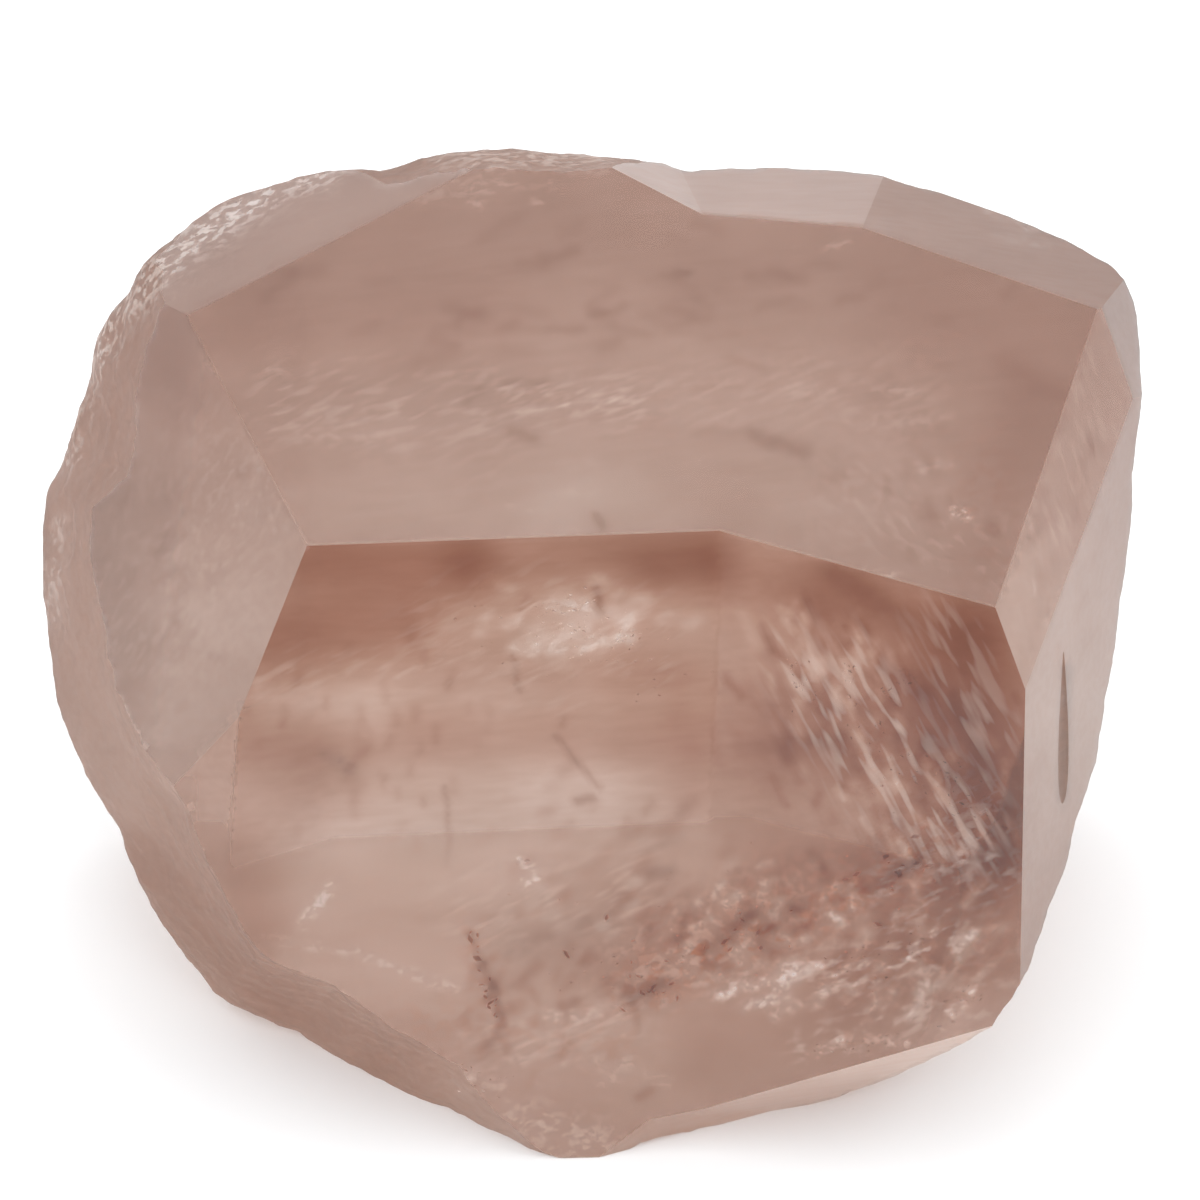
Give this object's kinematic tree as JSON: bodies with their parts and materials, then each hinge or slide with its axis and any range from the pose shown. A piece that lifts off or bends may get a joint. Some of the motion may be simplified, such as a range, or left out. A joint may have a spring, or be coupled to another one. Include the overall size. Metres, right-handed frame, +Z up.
{
  "type": "topaz crystal specimen",
  "caption": "Clear pinkish-brown topaz crystal, broken from its rock, with flat growth faces, a rough rim, a steep frosted back and a flat foot to stand on.",
  "frame": {"origin": "on the foot plane, under the middle of the crystal's box", "axes": "+Z up from the foot, -Y towards the front with the two creased prism faces, +X to the crystal's right as seen from the front"},
  "size_m": [0.0486, 0.0332, 0.0329],
  "materials": {
    "topaz": "clear pinkish-brown natural crystal: glossy front faces, finely frosted back, rim and side faces"
  },
  "bodies": {
    "root": {"topaz_crystal": "topaz"}
  },
  "joints": []
}
